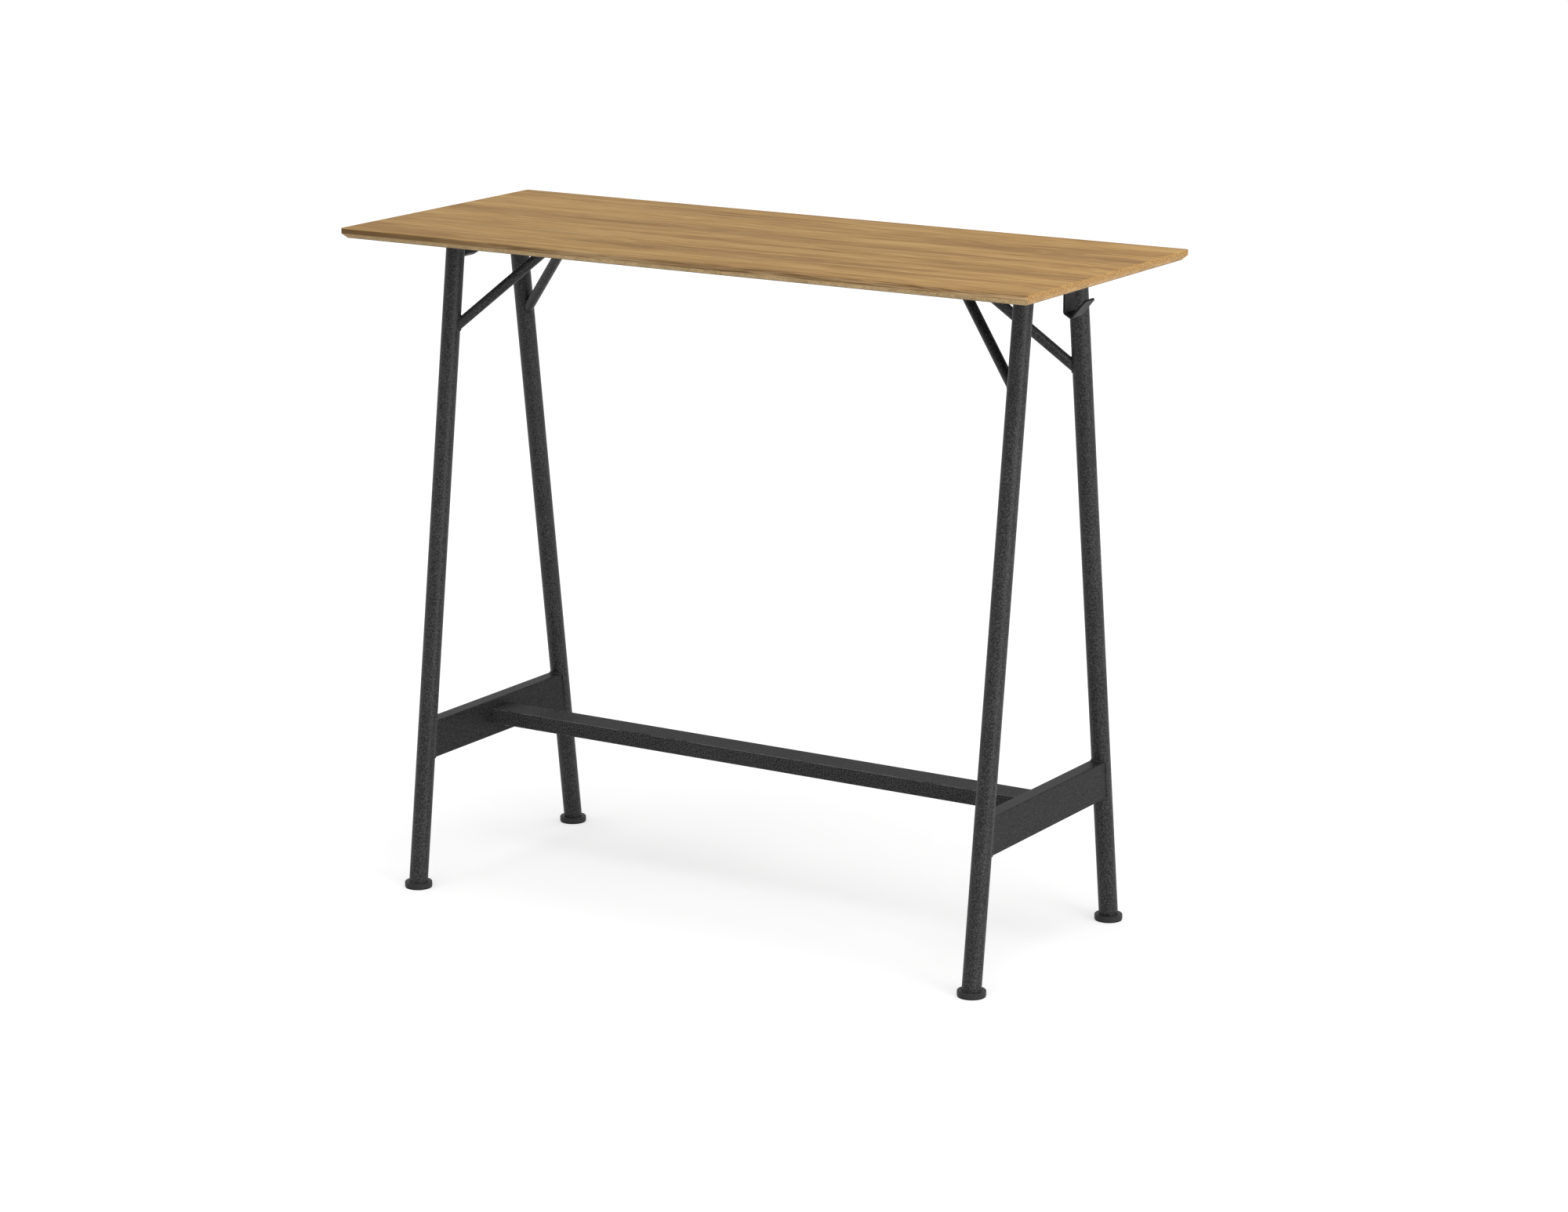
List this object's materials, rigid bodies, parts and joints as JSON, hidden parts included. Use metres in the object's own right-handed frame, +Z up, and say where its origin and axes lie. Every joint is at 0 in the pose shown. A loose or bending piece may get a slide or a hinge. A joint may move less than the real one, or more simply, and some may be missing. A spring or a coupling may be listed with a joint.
{
  "type": "standing desk",
  "caption": "Counter-height standing desk: bevelled wood-look top on A-shaped steel tube frames, with footrest bar, angled braces, bag hooks and levelling feet.",
  "frame": {"origin": "on the floor under the middle of the worktop", "axes": "+X along the desk's long side, to the right of someone who stands at it; +Y away from that person; +Z up"},
  "size_m": [1.219, 0.501, 1.064],
  "materials": {
    "wood_look_laminate": "satin wood-look laminate, straight grain along X",
    "board_core": "sealed fibre board",
    "balancing_sheet": "plain dark sheet",
    "powder_coated_steel": "fine-textured matt charcoal powder coat",
    "zinc_steel": "zinc plated",
    "foot_plastic": "moulded matt charcoal",
    "sole_rubber": "matt"
  },
  "bodies": {
    "desk": {"footrest_stretcher": "powder_coated_steel", "front_left_brace": "powder_coated_steel", "front_left_leg": "powder_coated_steel", "front_left_leg_plug": "zinc_steel", "front_right_brace": "powder_coated_steel", "front_right_leg": "powder_coated_steel", "front_right_leg_plug": "zinc_steel", "left_bag_hook": "powder_coated_steel", "left_brace_plate": "powder_coated_steel", "left_brace_screws": "zinc_steel", "left_crossbar": "powder_coated_steel", "left_footrest_screws": "zinc_steel", "left_footrest_sleeve": "powder_coated_steel", "left_hook_screws": "zinc_steel", "left_rail_screws": "zinc_steel", "left_top_rail": "powder_coated_steel", "rear_left_brace": "powder_coated_steel", "rear_left_leg": "powder_coated_steel", "rear_left_leg_plug": "zinc_steel", "rear_right_brace": "powder_coated_steel", "rear_right_leg": "powder_coated_steel", "rear_right_leg_plug": "zinc_steel", "right_bag_hook": "powder_coated_steel", "right_brace_plate": "powder_coated_steel", "right_brace_screws": "zinc_steel", "right_crossbar": "powder_coated_steel", "right_footrest_screws": "zinc_steel", "right_footrest_sleeve": "powder_coated_steel", "right_hook_screws": "zinc_steel", "right_rail_screws": "zinc_steel", "right_top_rail": "powder_coated_steel", "worktop_backer": "balancing_sheet", "worktop_core": "board_core", "worktop_edge_band": "wood_look_laminate", "worktop_laminate": "wood_look_laminate"},
    "front_left_sole": {"front_left_foot_sole": "sole_rubber"},
    "front_left_foot": {"front_left_foot_pad": "foot_plastic", "front_left_foot_stud": "zinc_steel"},
    "front_right_sole": {"front_right_foot_sole": "sole_rubber"},
    "front_right_foot": {"front_right_foot_pad": "foot_plastic", "front_right_foot_stud": "zinc_steel"},
    "rear_left_sole": {"rear_left_foot_sole": "sole_rubber"},
    "rear_left_foot": {"rear_left_foot_pad": "foot_plastic", "rear_left_foot_stud": "zinc_steel"},
    "rear_right_sole": {"rear_right_foot_sole": "sole_rubber"},
    "rear_right_foot": {"rear_right_foot_pad": "foot_plastic", "rear_right_foot_stud": "zinc_steel"}
  },
  "joints": [
    {"name": "front_left_foot_travel", "type": "slide", "parent": "desk", "child": "front_left_sole", "axis": [0, 0, -1], "range_m": [0, 0.01]},
    {"name": "front_left_foot_turn", "type": "hinge", "parent": "front_left_sole", "child": "front_left_foot", "pos_m": [-0.511, -0.21745, 0], "axis": [0, 0, -1], "range_deg": [0, 2880]},
    {"name": "front_right_foot_travel", "type": "slide", "parent": "desk", "child": "front_right_sole", "axis": [0, 0, -1], "range_m": [0, 0.01]},
    {"name": "front_right_foot_turn", "type": "hinge", "parent": "front_right_sole", "child": "front_right_foot", "pos_m": [0.511, -0.21745, 0], "axis": [0, 0, -1], "range_deg": [0, 2880]},
    {"name": "rear_left_foot_travel", "type": "slide", "parent": "desk", "child": "rear_left_sole", "axis": [0, 0, -1], "range_m": [0, 0.01]},
    {"name": "rear_left_foot_turn", "type": "hinge", "parent": "rear_left_sole", "child": "rear_left_foot", "pos_m": [-0.511, 0.21745, 0], "axis": [0, 0, -1], "range_deg": [0, 2880]},
    {"name": "rear_right_foot_travel", "type": "slide", "parent": "desk", "child": "rear_right_sole", "axis": [0, 0, -1], "range_m": [0, 0.01]},
    {"name": "rear_right_foot_turn", "type": "hinge", "parent": "rear_right_sole", "child": "rear_right_foot", "pos_m": [0.511, 0.21745, 0], "axis": [0, 0, -1], "range_deg": [0, 2880]}
  ],
  "couplings": [
    {"joint": "front_left_foot_travel", "follows": "front_left_foot_turn", "m_per_rad": 0.00019894},
    {"joint": "front_right_foot_travel", "follows": "front_right_foot_turn", "m_per_rad": 0.00019894},
    {"joint": "rear_left_foot_travel", "follows": "rear_left_foot_turn", "m_per_rad": 0.00019894},
    {"joint": "rear_right_foot_travel", "follows": "rear_right_foot_turn", "m_per_rad": 0.00019894}
  ]
}
